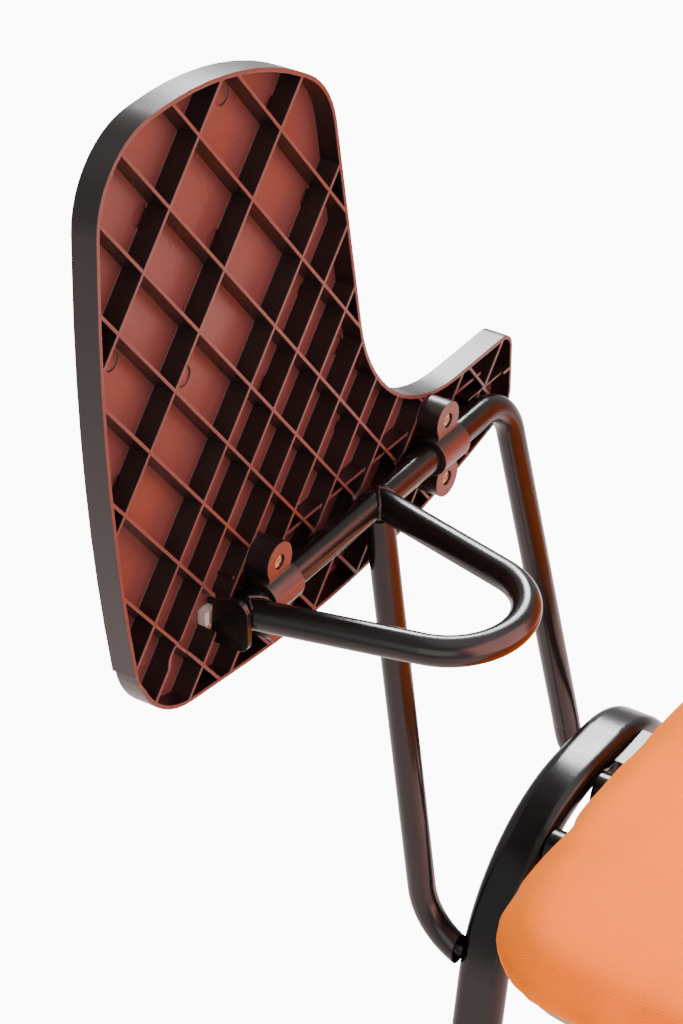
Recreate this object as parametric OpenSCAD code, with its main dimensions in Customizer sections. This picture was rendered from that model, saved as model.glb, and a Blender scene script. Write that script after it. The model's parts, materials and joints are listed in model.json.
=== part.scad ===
// Stacking visitor chair with a folding writing tablet.
// The chair faces -Y, +Z is up and the floor is z = 0 under the middle of the seat.
// The tablet is on the sitter's right (-X) and is modelled in its raised rest position.

/* [Frame] */
// Height of the side rail above the floor
rail_z = 435.7; // [400:1:480]
// Distance from the middle of the chair to the middle of each side frame
side_x = 272; // [240:1:300]
// Width of the oval frame tube
oval_w = 30; // [25:1:40]
// Thickness of the oval frame tube
oval_t = 15; // [12:1:20]
// Wall of the frame tubes
tube_wall = 1.5; // [1:0.1:3]
// Forward lean of the front legs in degrees
front_lean = 9.9; // [0:0.1:15]
// Rearward lean of the rear legs in degrees
rear_lean = 16; // [5:0.5:20]
// Bend radius at the top of the front legs
front_bend = 102; // [60:1:130]
// Bend radius at the top of the rear legs
rear_bend = 60; // [40:1:90]
// Diameter of the cross tubes under the seat
cross_d = 22; // [18:1:28]

/* [Seat and back] */
// Height of the underside of the seat board
board_z = 440; // [425:1:460]
// Thickness of the seat cushion
cushion_h = 34; // [25:1:60]
// Height of the middle of the back above the floor
back_z = 668; // [600:1:720]
// Lean of the back in degrees
back_lean = 12; // [5:1:20]

/* [Writing tablet] */
// Height of the tablet hinge tube above the floor
bar_z = 645; // [600:1:700]
// Distance of the hinge tube from the middle of the chair
bar_x = -343; // [-380:1:-320]
// Diameter of the tablet arm tubes
arm_d = 16; // [14:0.5:22]
// Overall thickness of the tablet
tablet_t = 14; // [10:0.5:20]
// Thickness of the tablet's writing face
tablet_skin = 2.6; // [1.5:0.1:4]
// Thickness of the rim of the tablet
rim_t = 2.2; // [1.5:0.1:4]
// Thickness of the stiffening ribs
rib_t = 1.7; // [1:0.1:3]
// Radial play of the tablet clamps on the hinge tube
clamp_play = 0.05; // [0.02:0.01:0.1]

/* [Part] */
// Sub-part to show, or all

/* [Hidden] */
$fn = 48;

BLACK = [0.09, 0.09, 0.10];
PLASTIC = [0.12, 0.11, 0.11];
ORANGE = [0.95, 0.45, 0.12];
PLY = [0.72, 0.56, 0.38];
ZINC = [0.78, 0.72, 0.55];
RUBBER = [0.2, 0.2, 0.2];

// side frame path in the vertical plane, given as [y, z]
front_corner = [-82.6, rail_z];
rear_corner = [77.2, rail_z];
front_foot = [front_corner[0] - (rail_z - 4) * tan(front_lean), 4];
rear_foot = [rear_corner[0] + (rail_z - 4) * tan(rear_lean), 4];

// hairline between the straight and the bent runs of a tube
seam = 0.02;

// seat rails that turn up into the back uprights, given as [y, z]
upright_x = 190;
upright_z = board_z - oval_t / 2;
upright_front = [-165, upright_z];
upright_corner = [250, upright_z];
back_dir = [sin(back_lean), cos(back_lean)];
upright_top = upright_corner + 352 * back_dir;
upright_bend = 60;

// cross tubes under the seat, given as [y, z]
cross_r = cross_d / 2;
rear_cross = [0, 426];
front_cross = [-52, 419.5];
bracket_y = 33;
bracket_w = 34;

// outline of the seat and of the back as circles [x, y, r]
seat_shape = [[165.45, -140.45, 62], [-863, 0, 1100], [159.25, 126.10, 70], [0, -1295, 1500],
    [-159.25, 126.10, 70], [863, 0, 1100], [-165.45, -140.45, 62], [0, 1288, 1500]];
back_shape = [[172.13, -89.68, 60], [-864, 0, 1100], [168.07, 90.13, 64], [0, -1336, 1500],
    [-168.07, 90.13, 64], [864, 0, 1100], [-172.13, -89.68, 60], [0, 1340, 1500]];
board_t = 10;
seat_screw_y = [-120, 120];
back_screw_v = [-90, 70];
shell_depth = 21;
shell_wall = 2.5;
// middle of the front face of the uprights at mid height of the back
back_up = (back_z - upright_z) / back_dir[1];
back_y = upright_corner[0] + back_up * back_dir[0] - oval_t / 2 * cos(back_lean);
back_mid_z = back_z + oval_t / 2 * sin(back_lean);

// hinge tube of the tablet, measured from the junction of tube and front leg
arm_r = arm_d / 2;
junction_y = -100;
bar_front_y = junction_y - 128;
near_arm_y = -120.6;
arm_slant = 13.8;
loop_bend = 39.5;
bar_bend = 28;
knee_bend = 30;
front_knee_bend = 44;
bar_front = [bar_x, bar_front_y, bar_z];
bar_corner = [bar_x, junction_y + 127, bar_z];
leg_splay = 0.1266;
leg_lean = 0.149;
leg_fall = 232;
// lower end of the rear leg in the plane of the hinge tube and the leg
rear_leg_end = leg_fall * [leg_lean, sqrt(1 + leg_splay * leg_splay)];
// elbow below it, turned towards the side frame
elbow_drop = 36;
elbow_heading = 36;
elbow_lean = norm([leg_splay, leg_lean]);
elbow_centre = bar_corner + (leg_fall + elbow_drop) * [leg_splay, leg_lean, -1];
far_arm_root = [bar_x, junction_y, bar_z];
front_knee = 283.5 * [leg_splay, -1];
loop_corner = [-near_arm_y / 2 / tan(arm_slant), near_arm_y / 2];

// tablet levels, measured from the hinge axis towards the open side
rib_face = -arm_r - 0.4;
writing_face = rib_face - tablet_t;
floor_face = writing_face + tablet_skin;
clamp_front_y = -96.4;
clamp_rear_y = 62.2;
clamp_r = 10.8;
ear_z = 18;
ear_face = 4.4;
saddle_r = 11;
saddle_half = 12.2;
bore_r = arm_r + clamp_play;
screw_r = 2;
screw_head_r = 3.6;
recess_depth = 3;
screw_head_h = 1.8;
clamp_face = rib_face - 0.2;
cradle_face = -10.6;

// outline of the tablet as circles [along the hinge, up, r]
tablet_shape = [[-149.5, 13.4, 50], [-30, 573, 620], [135.7, -10, 14], [139.7, 17, 10],
    [90, 120.8, -94], [-76, 218, 52], [-156.3, 93.6, 200], [-170.5, 248, 45],
    [833, 190, 1050]];
// offsets of the two families of slanting ribs
down_ribs = [97, 62, 27, -4, -33.5, -64, -95, -126];
down_slant = -51;
up_ribs = [282, 217.5, 153.5, 124, 93.5, 64.5, 35.5, 5.5, -25, -55.5, -86];
up_slant = 47.6;
// shallow round marks left by the mould on the inner face
mould_marks = [[-169, 238], [-103, 271], [-63, 249], [-35, 187], [-113, 200], [-38, 137],
    [-74, 101], [-139, 139], [-194, 175], [-195, 108], [-6, 41], [-9, 92]];

// ---------- helpers ----------

function unit(v) = v / norm(v);

// heading of the common tangent between two circles of an outline
function heading(a, b) = let (d = [b[0] - a[0], b[1] - a[1]])
    atan2(d[1], d[0]) - asin(max(-1, min(1, (b[2] - a[2]) / norm(d))));

// turn brought within half a circle, then taken in the sense of the curve
function half_turn(a) = a - 360 * floor((a + 180) / 360);
function turn_of(r, raw) = let (a = half_turn(raw))
    r > 0 ? (a < -5 ? a + 360 : a) : (a > 5 ? a - 360 : a);

// number of steps that keeps the chords of an arc within 0.12 mm of it
function arc_steps(r, turn) = max(1, ceil(abs(turn) / (2 * acos(1 - 0.12 / abs(r)))));

// rounded outline that runs anticlockwise round a list of circles;
// a negative radius is a hollow curve and inset shrinks the whole outline
function rounded(list, inset = 0) = [
    for (i = [0:len(list) - 1])
        let (n = len(list),
             c = list[i],
             h0 = heading(list[(i + n - 1) % n], c),
             turn = turn_of(c[2], heading(c, list[(i + 1) % n]) - h0),
             steps = arc_steps(c[2], turn))
        for (k = [0:steps])
            let (h = h0 + turn * k / steps)
            [c[0] + (c[2] - inset) * sin(h), c[1] - (c[2] - inset) * cos(h)]
];

// flat oval tube profile with its long side along X
module oval() {
    difference() {
        oval_shape(0);
        oval_shape(tube_wall);
    }
}

// solid oval, smaller all round by the inset
module oval_shape(inset) {
    square([oval_w - oval_t, oval_t - 2 * inset], center = true);
    translate([(oval_w - oval_t) / 2, 0]) circle(r = oval_t / 2 - inset);
    translate([-(oval_w - oval_t) / 2, 0]) circle(r = oval_t / 2 - inset);
}

// inverted U of oval tube standing in the vertical plane
module side_frame() {
    t1 = front_bend * tan((90 - front_lean) / 2);
    t2 = rear_bend * tan((90 - rear_lean) / 2);
    rotate([90, 0, 90]) {
        straight_run(front_foot, front_corner + t1 * unit(front_foot - front_corner)) oval();
        bend_run(front_foot, front_corner, rear_corner, front_bend) oval();
        straight_run(front_corner + [t1, 0], rear_corner - [t2, 0]) oval();
        bend_run(front_corner, rear_corner, rear_foot, rear_bend) oval();
        straight_run(rear_corner + t2 * unit(rear_foot - rear_corner), rear_foot) oval();
    }
}

// seat rail with the back upright
module upright() {
    rotate([90, 0, 90])
        bent_run(upright_front, upright_corner, upright_top, upright_bend) oval();
}

module ring(r, wall) {
    difference() {
        circle(r);
        if (wall > 0) circle(r - wall);
    }
}

// round tube between two points
module tube(a, b, r, wall = 0) {
    d = b - a;
    translate(a)
        rotate([0, acos(d[2] / norm(d)), atan2(d[1], d[0])])
            linear_extrude(norm(d))
                ring(r, wall);
}

// straight run of the child's profile along a path drawn in the XY plane
module straight_run(a, b) {
    d = b - a;
    translate([a[0], a[1], 0])
        rotate([0, 0, atan2(d[1], d[0])])
            rotate([0, 90, 0])
                translate([0, 0, seam / 2])
                    linear_extrude(norm(d) - seam)
                        children();
}

// bend of the child's profile at corner p of a path drawn in the XY plane
module bend_run(a, p, b, r) {
    d1 = unit(p - a);
    d2 = unit(b - p);
    turn = acos(d1 * d2);
    side = d1[0] * d2[1] - d1[1] * d2[0] > 0 ? 1 : -1;
    c = p - r * tan(turn / 2) * d1 + side * r * [-d1[1], d1[0]];
    start = atan2(-side * d1[0], side * d1[1]);
    translate([c[0], c[1], 0])
        rotate([0, 0, side > 0 ? start : start - turn])
            rotate_extrude(angle = turn)
                translate([r, 0])
                    rotate([0, 0, 90])
                        children();
}

// two straight runs joined by a bend
module bent_run(a, p, b, r) {
    t = r * tan(acos(unit(p - a) * unit(b - p)) / 2);
    straight_run(a, p - t * unit(p - a)) children();
    bend_run(a, p, b, r) children();
    straight_run(p + t * unit(b - p), b) children();
}

// space taken by the right side frame, for trimming the tubes that join it
module beside_right_frame() {
    translate([-side_x - oval_w / 2, -300, 300]) cube([200, 600, 200]);
}

// puts children drawn as [along the hinge, up, outwards] in place
module on_hinge() {
    translate([bar_x, junction_y, bar_z]) rotate([90, 0, 90]) children();
}

// puts children drawn in the plane of the back in place, +Z to the front
module on_back() {
    translate([0, back_y, back_mid_z]) rotate([90 - back_lean, 0, 0]) children();
}

// ---------- frame ----------

module side_frame_right() {
    color(BLACK) translate([-side_x, 0, 0]) side_frame();
}

module side_frame_left() {
    color(BLACK) translate([side_x, 0, 0]) side_frame();
}

// holes for the seat and back screws
module screw_holes() {
    for (x = [-upright_x, upright_x], y = seat_screw_y) {
        translate([x, y, board_z - oval_t - 1])
            cylinder(r = screw_r + 0.1, h = oval_t + 2);
    }
    on_back()
        for (x = [-upright_x, upright_x], v = back_screw_v) {
            translate([x, v, -oval_t - 1])
                cylinder(r = screw_r + 0.1, h = oval_t + 2);
        }
}

module back_upright_right() {
    color(BLACK)
        difference() {
            translate([-upright_x, 0, 0]) upright();
            screw_holes();
        }
}

module back_upright_left() {
    color(BLACK)
        difference() {
            translate([upright_x, 0, 0]) upright();
            screw_holes();
        }
}

// straight runs of the uprights, for notching the cross tubes under them
module upright_runs() {
    for (x = [-upright_x, upright_x]) {
        translate([x, 0, 0])
            rotate([90, 0, 90])
                straight_run(upright_front, [120, upright_z]) oval_shape(0);
    }
}

module cross_tube(at) {
    reach = side_x - oval_w / 2;
    tube([-reach, at[0], at[1]], [reach, at[0], at[1]], cross_r, tube_wall);
}

module cross_tubes() {
    color(BLACK)
        difference() {
            union() {
                cross_tube(front_cross);
                cross_tube(rear_cross);
            }
            upright_runs();
        }
}

// plates welded between the rails and the uprights
module seat_brackets() {
    w = side_x - upright_x - oval_w;
    color(BLACK)
        for (s = [-1, 1]) {
            translate([s * (side_x + upright_x) / 2, bracket_y, upright_z])
                cube([w, bracket_w, 8], center = true);
        }
}

module foot_cap(foot, lean) {
    // the cap follows the leg and is cut level with the floor
    intersection() {
        translate([0, foot[0], foot[1]])
            rotate([lean, 0, 0])
                difference() {
                    translate([0, 0, -12]) linear_extrude(36) oval_shape(-2);
                    linear_extrude(40) oval_shape(0);
                }
        translate([-30, foot[0] - 60, 0]) cube([60, 120, 80]);
    }
}

module foot_caps() {
    color(RUBBER)
        for (x = [-side_x, side_x]) {
            translate([x, 0, 0]) foot_cap(front_foot, -front_lean);
            translate([x, 0, 0]) foot_cap(rear_foot, rear_lean);
        }
}

// ---------- seat and back ----------

module seat_board() {
    color(PLY)
        difference() {
            translate([0, 0, board_z])
                linear_extrude(board_t)
                    polygon(rounded(seat_shape, 9));
            for (x = [-upright_x, upright_x], y = seat_screw_y) {
                translate([x, y, board_z - 1]) cylinder(r = screw_r, h = 9);
            }
        }
}

module seat_cushion() {
    base = board_z + board_t;
    color(ORANGE) {
        translate([0, 0, base]) linear_extrude(cushion_h * 0.6)
            polygon(rounded(seat_shape, 0));
        translate([0, 0, base + cushion_h * 0.6]) linear_extrude(cushion_h * 0.4)
            polygon(rounded(seat_shape, 14));
    }
}

// pan-head screw pointing up with its head below z = 0
module pan_screw(length) {
    difference() {
        union() {
            translate([0, 0, -screw_head_h]) cylinder(r = screw_head_r, h = screw_head_h);
            cylinder(r = screw_r, h = length);
        }
        translate([0, 0, -screw_head_h]) cube([4.4, 1, 2.2], center = true);
        translate([0, 0, -screw_head_h]) cube([1, 4.4, 2.2], center = true);
    }
}

module seat_screws() {
    color(ZINC)
        for (x = [-upright_x, upright_x], y = seat_screw_y) {
            translate([x, y, board_z - oval_t]) pan_screw(oval_t + 7.5);
        }
}

module back_board() {
    color(PLY)
        on_back()
            difference() {
                linear_extrude(board_t)
                    polygon(rounded(back_shape, 9));
                for (x = [-upright_x, upright_x], v = back_screw_v) {
                    translate([x, v, -1]) cylinder(r = screw_r, h = 9);
                }
            }
}

module back_cushion() {
    color(ORANGE)
        on_back() {
            translate([0, 0, board_t]) linear_extrude(cushion_h * 0.5)
                polygon(rounded(back_shape, 0));
            translate([0, 0, board_t + cushion_h * 0.5]) linear_extrude(cushion_h * 0.4)
                polygon(rounded(back_shape, 14));
        }
}

// shallow tray that covers the rear of the back, open to the front
module back_shell() {
    color(PLASTIC)
        on_back()
            difference() {
                translate([0, 0, -shell_depth])
                    linear_extrude(shell_depth + board_t - 0.3)
                        polygon(rounded(back_shape, 3));
                translate([0, 0, -shell_depth + shell_wall])
                    linear_extrude(shell_depth + board_t)
                        polygon(rounded(back_shape, 3 + shell_wall));
                for (x = [-upright_x, upright_x]) {
                    translate([x - oval_w / 2 - 0.5, -170, -oval_t - 0.5])
                        cube([oval_w + 1, 80, oval_t + 0.8]);
                }
            }
}

module back_screws() {
    color(ZINC)
        on_back()
            for (x = [-upright_x, upright_x], v = back_screw_v) {
                translate([x, v, -oval_t]) pan_screw(oval_t + 7.5);
            }
}

// ---------- tablet support ----------

// hinge tube that bends down into the rear leg, then an elbow to the side frame
module tablet_arm_tube() {
    color(BLACK) {
        translate(bar_corner)
            rotate([-90 - atan(leg_splay), 0, 90])
                bent_run([bar_front_y - bar_corner[1], 0], [0, 0],
                    rear_leg_end, bar_bend) ring(arm_r, tube_wall);
        difference() {
            translate(elbow_centre)
                rotate([0, 0, elbow_heading])
                    rotate([90, 0, 0])
                        bent_run([-elbow_drop * elbow_lean, elbow_drop], [0, 0], [60, 0],
                            knee_bend) ring(arm_r, tube_wall);
            beside_right_frame();
        }
    }
}

// straight part of the hinge tube with a hair of welding gap
module bar_solid() {
    tube(bar_front - [0, 10, 0], bar_corner, arm_r + 0.1);
}

module tablet_front_leg() {
    color(BLACK)
        difference() {
            translate(far_arm_root)
                rotate([90, 0, 0])
                    bent_run([0, 0], front_knee, front_knee + [55, 0], front_knee_bend)
                        ring(arm_r, tube_wall);
            beside_right_frame();
            translate(far_arm_root + [-20, -20, -8.6]) cube(40);
        }
}

// one arm of the loop, coped round the hinge tube
module loop_arm(root, tip) {
    difference() {
        straight_run(root, tip) ring(arm_r, tube_wall);
        translate([0, -200, 0]) rotate([-90, 0, 0]) cylinder(r = arm_r + 0.1, h = 300);
        translate([-20, -150, -10]) cube([20, 200, 20]);
    }
}

module tablet_loop() {
    t = loop_bend * tan(90 - arm_slant);
    near = [0, near_arm_y];
    far = [0, 0];
    color(BLACK)
        translate(far_arm_root) {
            loop_arm(near, loop_corner - t * unit(loop_corner - near));
            loop_arm(far, loop_corner - t * unit(loop_corner - far));
            bend_run(near, loop_corner, far, loop_bend) ring(arm_r, tube_wall);
        }
}

// plate on the front end of the hinge tube that stops the raised tablet
module stop_plate() {
    color(BLACK)
        translate([bar_x, bar_front_y, bar_z])
            rotate([90, 0, 0])
                linear_extrude(3)
                    polygon(rounded([[-11, -13.2, 3], [2.2, -10, 6.5], [0.7, 5, 8],
                        [-6, 4.5, 6.6]]));
}

// ---------- tablet ----------

module rib_lattice() {
    intersection() {
        polygon(rounded(tablet_shape, rim_t / 2));
        union() {
            rotate([0, 0, down_slant])
                for (d = down_ribs) {
                    translate([0, d]) square([900, rib_t], center = true);
                }
            rotate([0, 0, up_slant])
                for (d = up_ribs) {
                    translate([0, d]) square([900, rib_t], center = true);
                }
            translate([128, 3.3]) square([44, rib_t], center = true);
        }
    }
}

module tablet_panel() {
    color(PLASTIC)
        on_hinge()
            difference() {
                union() {
                    difference() {
                        translate([0, 0, writing_face])
                            linear_extrude(tablet_skin)
                                polygon(rounded(tablet_shape));
                        for (m = mould_marks) {
                            translate([m[0], m[1], floor_face - 0.8])
                                cylinder(r = 5.25, h = 2);
                        }
                    }
                    translate([0, 0, writing_face])
                        linear_extrude(tablet_t)
                            difference() {
                                polygon(rounded(tablet_shape));
                                polygon(rounded(tablet_shape, rim_t));
                            }
                    translate([0, 0, floor_face - 0.2])
                        linear_extrude(rib_face - floor_face + 0.2)
                            rib_lattice();
                    // bosses for the clamp screws
                    for (y = [clamp_front_y, clamp_rear_y], z = [-ear_z, ear_z]) {
                        translate([y, z, floor_face - 0.2])
                            cylinder(r = clamp_r, h = rib_face - floor_face);
                    }
                    // cradle rails along the hinge tube
                    for (z = [-13.5, 13.5]) {
                        translate([2, z, (floor_face + cradle_face) / 2])
                            cube([236, rib_t, cradle_face - floor_face + 0.2], center = true);
                    }
                }
                // room for the hinge tube and for the stop plate
                translate([-200, 0, 0]) rotate([0, 90, 0]) cylinder(r = 10.2, h = 341);
                translate([-134, -24, floor_face]) cube([9, 42, 30]);
                for (y = [clamp_front_y, clamp_rear_y]) {
                    translate([y - saddle_half - 0.5, -12, floor_face + 6])
                        cube([2 * saddle_half + 1, 24, 20]);
                    translate([y, -ear_z, rib_face - 0.2]) cylinder(r = clamp_r + 0.4, h = 5);
                    translate([y, ear_z, rib_face - 0.2]) cylinder(r = clamp_r + 0.4, h = 5);
                    translate([y, -ear_z, floor_face]) cylinder(r = screw_r, h = 20);
                    translate([y, ear_z, floor_face]) cylinder(r = screw_r, h = 20);
                }
            }
}

// rubber pad the stop plate meets when the tablet is fully raised
module tablet_bumper() {
    color(RUBBER)
        on_hinge()
            translate([-129.5, -3, floor_face]) {
                cylinder(r = 4.3, h = 3.6);
                translate([0, -4, 0]) cylinder(r = 4.3, h = 3.6);
                translate([-4.3, -4, 0]) cube([8.6, 8, 5]);
            }
}

// saddle with two screw ears that holds the tablet on the hinge tube
module clamp(y) {
    color(PLASTIC)
        on_hinge()
            translate([y, 0, 0])
                difference() {
                    union() {
                        for (z = [-ear_z, ear_z]) {
                            translate([0, z, clamp_face])
                                cylinder(r = clamp_r, h = ear_face - clamp_face);
                        }
                        translate([-clamp_r + 1.5, -ear_z, clamp_face])
                            cube([2 * clamp_r - 3, 2 * ear_z, ear_face - clamp_face]);
                        intersection() {
                            translate([-saddle_half, 0, 0])
                                rotate([0, 90, 0])
                                    cylinder(r = saddle_r, h = 2 * saddle_half);
                            translate([-20, -20, clamp_face]) cube([40, 40, 30]);
                        }
                    }
                    translate([-20, 0, 0]) rotate([0, 90, 0]) cylinder(r = bore_r, h = 40);
                    translate([-20, -bore_r, -30]) cube([40, 2 * bore_r, 30]);
                    for (z = [-ear_z, ear_z]) {
                        translate([0, z, -20]) cylinder(r = screw_r, h = 40);
                        translate([0, z, ear_face - recess_depth])
                            cylinder(r = 4.1, h = 20);
                    }
                }
}

module clamp_front() {
    clamp(clamp_front_y);
}

module clamp_rear() {
    clamp(clamp_rear_y);
}

module clamp_screws() {
    color(ZINC)
        on_hinge()
            for (y = [clamp_front_y, clamp_rear_y], z = [-ear_z, ear_z]) {
                translate([y, z, ear_face - recess_depth])
                    rotate([180, 0, 0])
                        pan_screw(15);
            }
}

side_frame_right();
side_frame_left();
cross_tubes();
seat_brackets();
back_upright_right();
back_upright_left();
foot_caps();
seat_board();
seat_cushion();
seat_screws();
back_board();
back_cushion();
back_shell();
back_screws();
tablet_arm_tube();
tablet_front_leg();
tablet_loop();
stop_plate();
tablet_panel();
tablet_bumper();
clamp_front();
clamp_rear();
clamp_screws();
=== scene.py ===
import json
import math

import bmesh
import bpy
from mathutils import Matrix, Vector


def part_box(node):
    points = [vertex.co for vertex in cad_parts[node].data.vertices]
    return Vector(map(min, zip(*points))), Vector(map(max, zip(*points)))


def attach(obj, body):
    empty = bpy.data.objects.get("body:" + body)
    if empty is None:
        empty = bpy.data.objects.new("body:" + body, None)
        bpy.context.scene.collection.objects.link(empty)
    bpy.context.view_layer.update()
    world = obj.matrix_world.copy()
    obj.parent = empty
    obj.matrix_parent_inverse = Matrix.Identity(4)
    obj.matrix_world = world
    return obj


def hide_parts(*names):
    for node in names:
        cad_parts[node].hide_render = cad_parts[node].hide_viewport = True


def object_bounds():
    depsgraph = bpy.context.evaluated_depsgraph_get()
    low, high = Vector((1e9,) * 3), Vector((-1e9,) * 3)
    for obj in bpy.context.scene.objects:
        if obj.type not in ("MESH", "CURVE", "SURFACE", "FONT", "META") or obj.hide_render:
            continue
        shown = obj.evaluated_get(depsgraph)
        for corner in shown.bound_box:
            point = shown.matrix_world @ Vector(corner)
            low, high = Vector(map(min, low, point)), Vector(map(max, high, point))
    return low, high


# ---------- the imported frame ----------

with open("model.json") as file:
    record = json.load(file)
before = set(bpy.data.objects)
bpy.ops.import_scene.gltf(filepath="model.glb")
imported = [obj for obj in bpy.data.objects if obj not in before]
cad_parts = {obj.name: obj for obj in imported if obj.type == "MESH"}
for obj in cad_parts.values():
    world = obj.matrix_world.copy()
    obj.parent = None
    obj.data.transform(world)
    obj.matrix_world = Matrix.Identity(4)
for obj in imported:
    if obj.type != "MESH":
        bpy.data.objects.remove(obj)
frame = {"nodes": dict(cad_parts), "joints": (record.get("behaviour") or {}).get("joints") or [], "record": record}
size_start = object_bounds()
nodes = frame["nodes"]
hinge = Vector(frame["joints"][0]["pos_m"])


# ---------- materials ----------

def shader(name, color, rough, metallic=0.0):
    m = bpy.data.materials.new(name)
    m.use_nodes = True
    t = m.node_tree
    b = t.nodes["Principled BSDF"]
    b.inputs["Base Color"].default_value = (*color, 1)
    b.inputs["Roughness"].default_value = rough
    b.inputs["Metallic"].default_value = metallic
    return m, t, b


def node(t, kind, **values):
    n = t.nodes.new(kind)
    for key, value in values.items():
        n.inputs[key].default_value = value
    return n


def coords(t):
    return t.nodes.new("ShaderNodeTexCoord").outputs["Object"]


def noise(t, scale, detail=3.0, rough=0.55):
    n = node(t, "ShaderNodeTexNoise", Scale=scale, Detail=detail, Roughness=rough)
    t.links.new(coords(t), n.inputs["Vector"])
    return n.outputs["Fac"]


def spread(t, value, lo, hi, from_lo=0.3, from_hi=0.7):
    n = t.nodes.new("ShaderNodeMapRange")
    n.inputs["From Min"].default_value = from_lo
    n.inputs["From Max"].default_value = from_hi
    n.inputs["To Min"].default_value = lo
    n.inputs["To Max"].default_value = hi
    t.links.new(value, n.inputs["Value"])
    return n.outputs["Result"]


def mixed(t, fac, a, b):
    n = t.nodes.new("ShaderNodeMix")
    n.data_type = "RGBA"
    n.inputs["A"].default_value = (*a, 1)
    n.inputs["B"].default_value = (*b, 1)
    t.links.new(fac, n.inputs["Factor"])
    return n.outputs["Result"]


def bump(t, b, height, strength, distance, edge=0.0):
    n = node(t, "ShaderNodeBump", Strength=strength, Distance=distance)
    t.links.new(height, n.inputs["Height"])
    if edge:
        r = node(t, "ShaderNodeBevel", Radius=edge)
        r.samples = 6
        t.links.new(r.outputs["Normal"], n.inputs["Normal"])
    t.links.new(n.outputs["Normal"], b.inputs["Normal"])


def paint_black():
    m, t, b = shader("powder_coat", (0.004, 0.0035, 0.0035), 0.22)
    b.inputs["Specular IOR Level"].default_value = 0.4
    t.links.new(spread(t, noise(t, 35), 0.19, 0.28), b.inputs["Roughness"])
    t.links.new(mixed(t, noise(t, 9), (0.003, 0.0027, 0.0027), (0.006, 0.0055, 0.0055)),
                b.inputs["Base Color"])
    bump(t, b, noise(t, 900, 2.0), 0.12, 0.0004, 0.0006)
    return m


def plastic_black():
    """Black moulding, painted red-brown on faces towards +X, the tablet's ribbed side at
    rest. The tint stands in for orange light that the ribs pick up from the seat, and it
    isn't the plastic's own colour."""
    m, t, b = shader("moulded_plastic", (0.006, 0.005, 0.005), 0.3)
    b.inputs["Specular IOR Level"].default_value = 0.5
    # painted reflection: faces towards +X are tinted red-brown, with a noise-varied tone, in place of the orange
    # light they pick up from the seat
    split = t.nodes.new("ShaderNodeSeparateXYZ")
    t.links.new(t.nodes.new("ShaderNodeTexCoord").outputs["Normal"], split.inputs[0])
    painted_reflection_mask = spread(t, split.outputs["X"], 0.0, 1.0, 0.75, 0.95)
    painted_reflection_tint = mixed(t, noise(t, 7), (0.065, 0.026, 0.024), (0.088, 0.034, 0.031))
    # body mixes the plastic's near-black with the painted reflection tint
    body = t.nodes.new("ShaderNodeMix")
    body.data_type = "RGBA"
    body.inputs["A"].default_value = (0.009, 0.0065, 0.0065, 1)
    t.links.new(painted_reflection_tint, body.inputs["B"])
    t.links.new(painted_reflection_mask, body.inputs["Factor"])
    t.links.new(body.outputs["Result"], b.inputs["Base Color"])
    t.links.new(spread(t, noise(t, 16, 4.0), 0.25, 0.36), b.inputs["Roughness"])
    bump(t, b, noise(t, 1500, 3.0), 0.2, 0.0004, 0.0009)
    return m


def rubber(name, dark, light, rough):
    m, t, b = shader(name, dark, rough)
    t.links.new(spread(t, noise(t, 60), rough - 0.08, rough + 0.1), b.inputs["Roughness"])
    t.links.new(mixed(t, noise(t, 40), dark, light), b.inputs["Base Color"])
    bump(t, b, noise(t, 1200), 0.3, 0.0005, 0.0012)
    return m


def zinc_plate():
    m, t, b = shader("yellow_zinc", (0.78, 0.66, 0.42), 0.32, 1.0)
    t.links.new(spread(t, noise(t, 300), 0.24, 0.42), b.inputs["Roughness"])
    t.links.new(mixed(t, noise(t, 500), (0.8, 0.7, 0.45), (0.62, 0.55, 0.42)),
                b.inputs["Base Color"])
    bump(t, b, noise(t, 1800), 0.2, 0.0003, 0.0004)
    return m


def plywood():
    m, t, b = shader("plywood", (0.5, 0.33, 0.18), 0.6)
    w = node(t, "ShaderNodeTexWave", Scale=12, Distortion=7, Detail=3)
    w.bands_direction = "Y"
    t.links.new(coords(t), w.inputs["Vector"])
    t.links.new(mixed(t, w.outputs["Fac"], (0.56, 0.38, 0.21), (0.4, 0.25, 0.13)),
                b.inputs["Base Color"])
    bump(t, b, w.outputs["Fac"], 0.2, 0.0006)
    return m


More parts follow.
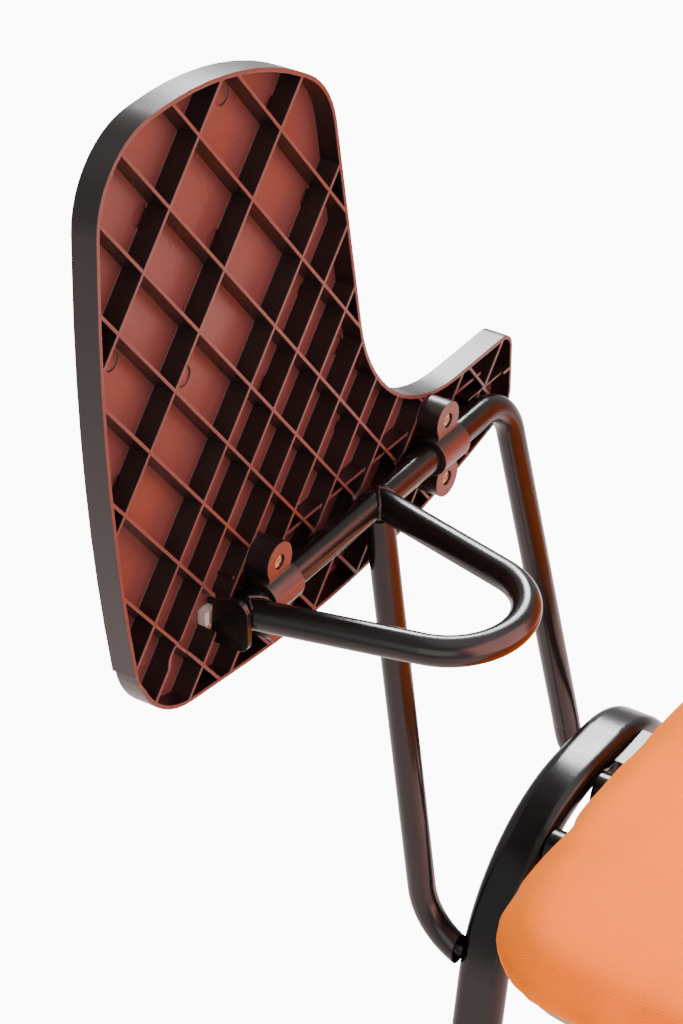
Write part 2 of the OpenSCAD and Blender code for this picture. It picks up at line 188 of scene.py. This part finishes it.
def fabric_orange():
    m, t, b = shader("orange_weave", (1.0, 0.2, 0.001), 0.72)
    b.inputs["Specular IOR Level"].default_value = 0.08
    b.inputs["Specular Tint"].default_value = (1.0, 0.5, 0.2, 1)
    b.inputs["Sheen Weight"].default_value = 0.05
    b.inputs["Sheen Roughness"].default_value = 0.4
    b.inputs["Sheen Tint"].default_value = (1.0, 0.45, 0.15, 1)
    waves = []
    for axis in ("X", "Y"):
        w = node(t, "ShaderNodeTexWave", Scale=210, Distortion=0.8, Detail=1)
        w.bands_direction = axis
        t.links.new(coords(t), w.inputs["Vector"])
        waves.append(w.outputs["Fac"])
    weave = t.nodes.new("ShaderNodeMath")
    weave.operation = "MAXIMUM"
    t.links.new(waves[0], weave.inputs[0])
    t.links.new(waves[1], weave.inputs[1])
    fuzz = t.nodes.new("ShaderNodeMath")
    fuzz.operation = "MULTIPLY_ADD"
    fuzz.inputs[1].default_value = 0.6
    t.links.new(noise(t, 700, 2.0), fuzz.inputs[0])
    t.links.new(weave.outputs[0], fuzz.inputs[2])
    patch = mixed(t, noise(t, 14, 4.0), (1.0, 0.19, 0.0), (1.0, 0.23, 0.0))
    dark = t.nodes.new("ShaderNodeMix")
    dark.data_type = "RGBA"
    dark.inputs["B"].default_value = (0.94, 0.15, 0.0, 1)
    t.links.new(patch, dark.inputs["A"])
    t.links.new(spread(t, weave.outputs[0], 0.3, 0.0, 0.2, 0.9), dark.inputs["Factor"])
    t.links.new(dark.outputs["Result"], b.inputs["Base Color"])
    t.links.new(spread(t, noise(t, 25), 0.66, 0.82), b.inputs["Roughness"])
    bump(t, b, fuzz.outputs[0], 0.35, 0.0005)
    return m


# how bright the floor and backdrop look, and how far they light the object
SWEEP = 9.0
AMBIENT = 0.6


def glow(t, strength):
    """Brightness of the floor and the backdrop in the camera's own rays only."""
    ray = t.nodes.new("ShaderNodeLightPath").outputs["Is Camera Ray"]
    n = t.nodes.new("ShaderNodeMath")
    n.operation = "MULTIPLY"
    n.inputs[1].default_value = strength
    t.links.new(ray, n.inputs[0])
    return n.outputs[0]


def studio_floor():
    m, t, b = shader("studio_floor", (0.9, 0.88, 0.86), 0.7)
    t.links.new(mixed(t, noise(t, 3), (0.9, 0.88, 0.86), (0.92, 0.9, 0.88)),
                b.inputs["Base Color"])
    t.links.new(spread(t, noise(t, 8), 0.65, 0.8), b.inputs["Roughness"])
    bump(t, b, noise(t, 200), 0.05, 0.0005)
    b.inputs["Emission Color"].default_value = (1, 0.985, 0.965, 1)
    t.links.new(glow(t, SWEEP), b.inputs["Emission Strength"])
    return m


PAINT = paint_black()
PLASTIC = plastic_black()
RUBBER = rubber("foot_rubber", (0.02, 0.02, 0.02), (0.035, 0.034, 0.033), 0.6)
BUMPER = rubber("bumper_rubber", (0.42, 0.4, 0.39), (0.55, 0.53, 0.51), 0.5)
ZINC = zinc_plate()
PLY = plywood()
FABRIC = fabric_orange()

FINISH = {"frame_paint": PAINT, "black_plastic": PLASTIC, "upholstery": FABRIC,
          "plywood": PLY, "zinc": ZINC, "foot_rubber": RUBBER, "bumper_rubber": BUMPER}
for part in frame["record"]["subparts"]:
    mesh = nodes[part["node"]].data
    mesh.materials.clear()
    mesh.materials.append(FINISH[part["material_slot"]])


# ---------- helpers for pieces ----------

def make(name, shape, material, body):
    o = bpy.data.objects.new(name, shape)
    bpy.context.scene.collection.objects.link(o)
    o.data.materials.clear()
    o.data.materials.append(material)
    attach(o, body)
    return o


def apply_modifiers(o):
    dg = bpy.context.evaluated_depsgraph_get()
    done = bpy.data.meshes.new_from_object(o.evaluated_get(dg), depsgraph=dg)
    o.modifiers.clear()
    o.data = done


def smooth(o):
    for p in o.data.polygons:
        p.use_smooth = True


# ---------- cushions ----------

# share of the capped movement that a firm, tightly covered pad keeps
TAUT = 0.25
# size of the cushion mesh's cells, and how the cut foam's edges are rounded first
VOXEL = 0.0055
SOFTEN = 0.5
SOFTEN_TIMES = 14
# the cloth's inner pressure, stiffness and length of run
PRESSURE = 4
PULL_STIFFNESS = 60
BEND_STIFFNESS = 12
CLOTH_STEPS = 5
LAST_FRAME = 20
# a pad starts this much smaller across, along and through than its solid
START_SHRINK = (0.985, 0.985, 0.92)


def cushion(name, source, lean, cap, wrap):
    """A foam pad that starts a little inside its CAD solid and is blown up into it.

    lean is the pad's tilt, cap the furthest that a point may move, and wrap how far
    the cover reaches below the solid."""
    lo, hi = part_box(source)
    mid = (lo + hi) / 2
    turn = Matrix.Rotation(lean, 4, "X")
    mesh = nodes[source].data.copy()
    mesh.materials.clear()
    mesh.transform(Matrix.Translation(-mid))
    mesh.transform(turn.inverted())
    mesh.transform(Matrix.Diagonal((*START_SHRINK, 1)))
    o = bpy.data.objects.new(name, mesh)
    bpy.context.scene.collection.objects.link(o)
    r = o.modifiers.new("remesh", "REMESH")
    r.mode = "VOXEL"
    r.voxel_size = VOXEL
    s = o.modifiers.new("soften", "SMOOTH")
    s.factor = SOFTEN
    s.iterations = SOFTEN_TIMES
    apply_modifiers(o)
    rest = [v.co.copy() for v in o.data.vertices]
    c = o.modifiers.new("cloth", "CLOTH")
    c.settings.use_pressure = True
    c.settings.uniform_pressure_force = PRESSURE
    c.settings.effector_weights.gravity = 0
    c.settings.quality = CLOTH_STEPS
    c.settings.tension_stiffness = PULL_STIFFNESS
    c.settings.compression_stiffness = PULL_STIFFNESS
    c.settings.bending_stiffness = BEND_STIFFNESS
    c.point_cache.frame_start = 1
    c.point_cache.frame_end = LAST_FRAME
    scene = bpy.context.scene
    for f in range(1, LAST_FRAME + 1):
        scene.frame_set(f)
    apply_modifiers(o)
    scene.frame_set(1)
    for v, was in zip(o.data.vertices, rest):
        move = v.co - was
        if move.length > cap:
            move *= cap / move.length
        v.co = was + move * TAUT
    # keep the pad inside the room of its CAD solid
    room = nodes[source].data.copy()
    room.transform(Matrix.Translation(-mid))
    room.transform(turn.inverted())
    room_lo = [min(v.co[i] for v in room.vertices) for i in range(3)]
    room_hi = [max(v.co[i] for v in room.vertices) for i in range(3)]
    room_lo[2] -= wrap
    have_lo = [min(v.co[i] for v in o.data.vertices) for i in range(3)]
    have_hi = [max(v.co[i] for v in o.data.vertices) for i in range(3)]
    for v in o.data.vertices:
        for i in range(3):
            share = (v.co[i] - have_lo[i]) / (have_hi[i] - have_lo[i])
            v.co[i] = room_lo[i] + share * (room_hi[i] - room_lo[i])
    o.data.transform(turn)
    o.data.transform(Matrix.Translation(mid))
    bpy.data.meshes.remove(room)
    sub = o.modifiers.new("subsurf", "SUBSURF")
    sub.levels = sub.render_levels = 1
    smooth(o)
    o.data.materials.append(FABRIC)
    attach(o, "frame")
    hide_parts(source)
    return o


# tilt of the back pad's face from level
back_lean = math.radians(78)
cushion("seat_pad", "seat_cushion", lean=0.0, cap=0.024, wrap=0.008)
cushion("back_pad", "back_cushion", lean=back_lean, cap=0.022, wrap=0.0)


# ---------- moulded parts with clean shading ----------

# mesh points closer than this are one, and a sharper turn than this stays an edge
SAME_POINT = 0.00001
CREASE = math.radians(28)


def moulded(name, source, body):
    """The CAD solid with its facets joined, so that its rounded outline shades smoothly."""
    mesh = nodes[source].data.copy()
    bm = bmesh.new()
    bm.from_mesh(mesh)
    bmesh.ops.remove_doubles(bm, verts=bm.verts, dist=SAME_POINT)
    bm.to_mesh(mesh)
    bm.free()
    if "custom_normal" in mesh.attributes:
        mesh.attributes.remove(mesh.attributes["custom_normal"])
    for p in mesh.polygons:
        p.use_smooth = True
    mesh.set_sharp_from_angle(angle=CREASE)
    o = make(name, mesh, PLASTIC, body)
    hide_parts(source)
    return o


moulded("tablet_moulding", "tablet_panel", "tablet")
moulded("back_tray", "back_shell", "frame")


# ---------- weld beads where the tubes meet ----------

# thickness of a bead, and how much and how fast it swells and thins along its length
BEAD_R = 0.0013
RIPPLE = 0.18
RIPPLE_STEP = 2.1
BEAD_POINTS = 48


def bead(name, points):
    curve = bpy.data.curves.new(name, "CURVE")
    curve.dimensions = "3D"
    curve.bevel_depth = BEAD_R
    curve.bevel_resolution = 4
    s = curve.splines.new("POLY")
    s.points.add(len(points) - 1)
    for i, p in enumerate(points):
        s.points[i].co = (*p, 1)
        s.points[i].radius = 1 + RIPPLE * math.sin(i * RIPPLE_STEP)
    s.use_cyclic_u = True
    return make(name, curve, PAINT, "frame")


tube_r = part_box("tablet_arm_tube")[1].z - hinge.z
loop_front_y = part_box("tablet_loop")[0].y


def saddle(root, along, r):
    """Where a tube that starts at root and runs along meets the hinge tube."""
    up = Vector((0, 0, 1))
    side = along.cross(up).normalized()
    across = side.cross(along).normalized()
    points = []
    for k in range(BEAD_POINTS):
        a = 2 * math.pi * k / BEAD_POINTS
        off = r * (math.cos(a) * side + math.sin(a) * across)
        z = off.z
        x = math.sqrt(max(r * r - z * z, 0.0))
        t = (x - off.x) / along.x
        points.append(root + off + t * along)
    return points


# the loop's two arms leave the hinge tube at this angle from square
slant = math.radians(13.8)
near_root = Vector((hinge.x, loop_front_y + tube_r * math.cos(slant), hinge.z))
near_arm = Vector((math.cos(slant), math.sin(slant), 0))
far_arm = Vector((math.cos(slant), -math.sin(slant), 0))
bead("weld_near_arm", saddle(near_root, near_arm, tube_r))
bead("weld_far_arm", saddle(hinge, far_arm, tube_r))


# ---------- floor, light and camera ----------

# half the floor's width
FLOOR_HALF = 9

floor_mesh = bpy.data.meshes.new("floor")
bm = bmesh.new()
bmesh.ops.create_grid(bm, x_segments=2, y_segments=2, size=FLOOR_HALF)
bm.to_mesh(floor_mesh)
bm.free()
floor_mesh.transform(Matrix.Translation((0, 0, size_start[0].z)))
floor = bpy.data.objects.new("floor", floor_mesh)
bpy.context.scene.collection.objects.link(floor)
floor.data.materials.append(studio_floor())


def area_light(name, target, offset, width, height, power, color):
    data = bpy.data.lights.new(name, "AREA")
    data.shape = "RECTANGLE"
    data.size, data.size_y = width, height
    data.energy = power
    data.color = color
    o = bpy.data.objects.new(name, data)
    bpy.context.scene.collection.objects.link(o)
    place = target + Vector(offset)
    o.location = place
    o.rotation_euler = (target - place).to_track_quat("-Z", "Y").to_euler()


middle = (size_start[0] + size_start[1]) / 2
area_light("key", hinge, (-1.2, -0.9, 1.9), 1.6, 1.6, 2, (1, 0.98, 0.95))
area_light("top", middle, (0.3, 0.2, 2.4), 2.2, 2.2, 16, (1, 0.98, 0.96))
area_light("front", middle, (0.6, -2.2, 0.9), 1.8, 1.4, 16, (1, 0.97, 0.94))
area_light("window", middle, (-1.2, 1.8, 1.6), 0.8, 0.8, 95, (0.98, 0.98, 1))
area_light("rosy_side", hinge, (1.2, 0.15, 0.35), 1.9, 1.7, 66, (1, 0.42, 0.38))

world = bpy.data.worlds.new("studio")
world.use_nodes = True
back_node = world.node_tree.nodes["Background"]
back_node.inputs["Color"].default_value = (1, 0.985, 0.97, 1)
lift = world.node_tree.nodes.new("ShaderNodeMath")
lift.inputs[1].default_value = AMBIENT
world.node_tree.links.new(glow(world.node_tree, SWEEP), lift.inputs[0])
world.node_tree.links.new(lift.outputs[0], back_node.inputs["Strength"])
bpy.context.scene.world = world

# the camera: lens and film width in mm, place from the hinge, tilt and heading in degrees
LENS = 118.0
FILM = 36
CAMERA_OFFSET = (0.785, -1.2293, 0.9572)
TILT = 56.527
HEADING = 33.295

cam_data = bpy.data.cameras.new("camera")
cam_data.lens = LENS
cam_data.sensor_width = FILM
cam = bpy.data.objects.new("camera", cam_data)
bpy.context.scene.collection.objects.link(cam)
cam.location = hinge + Vector(CAMERA_OFFSET)
cam.rotation_euler = (math.radians(TILT), 0, math.radians(HEADING))
bpy.context.scene.camera = cam
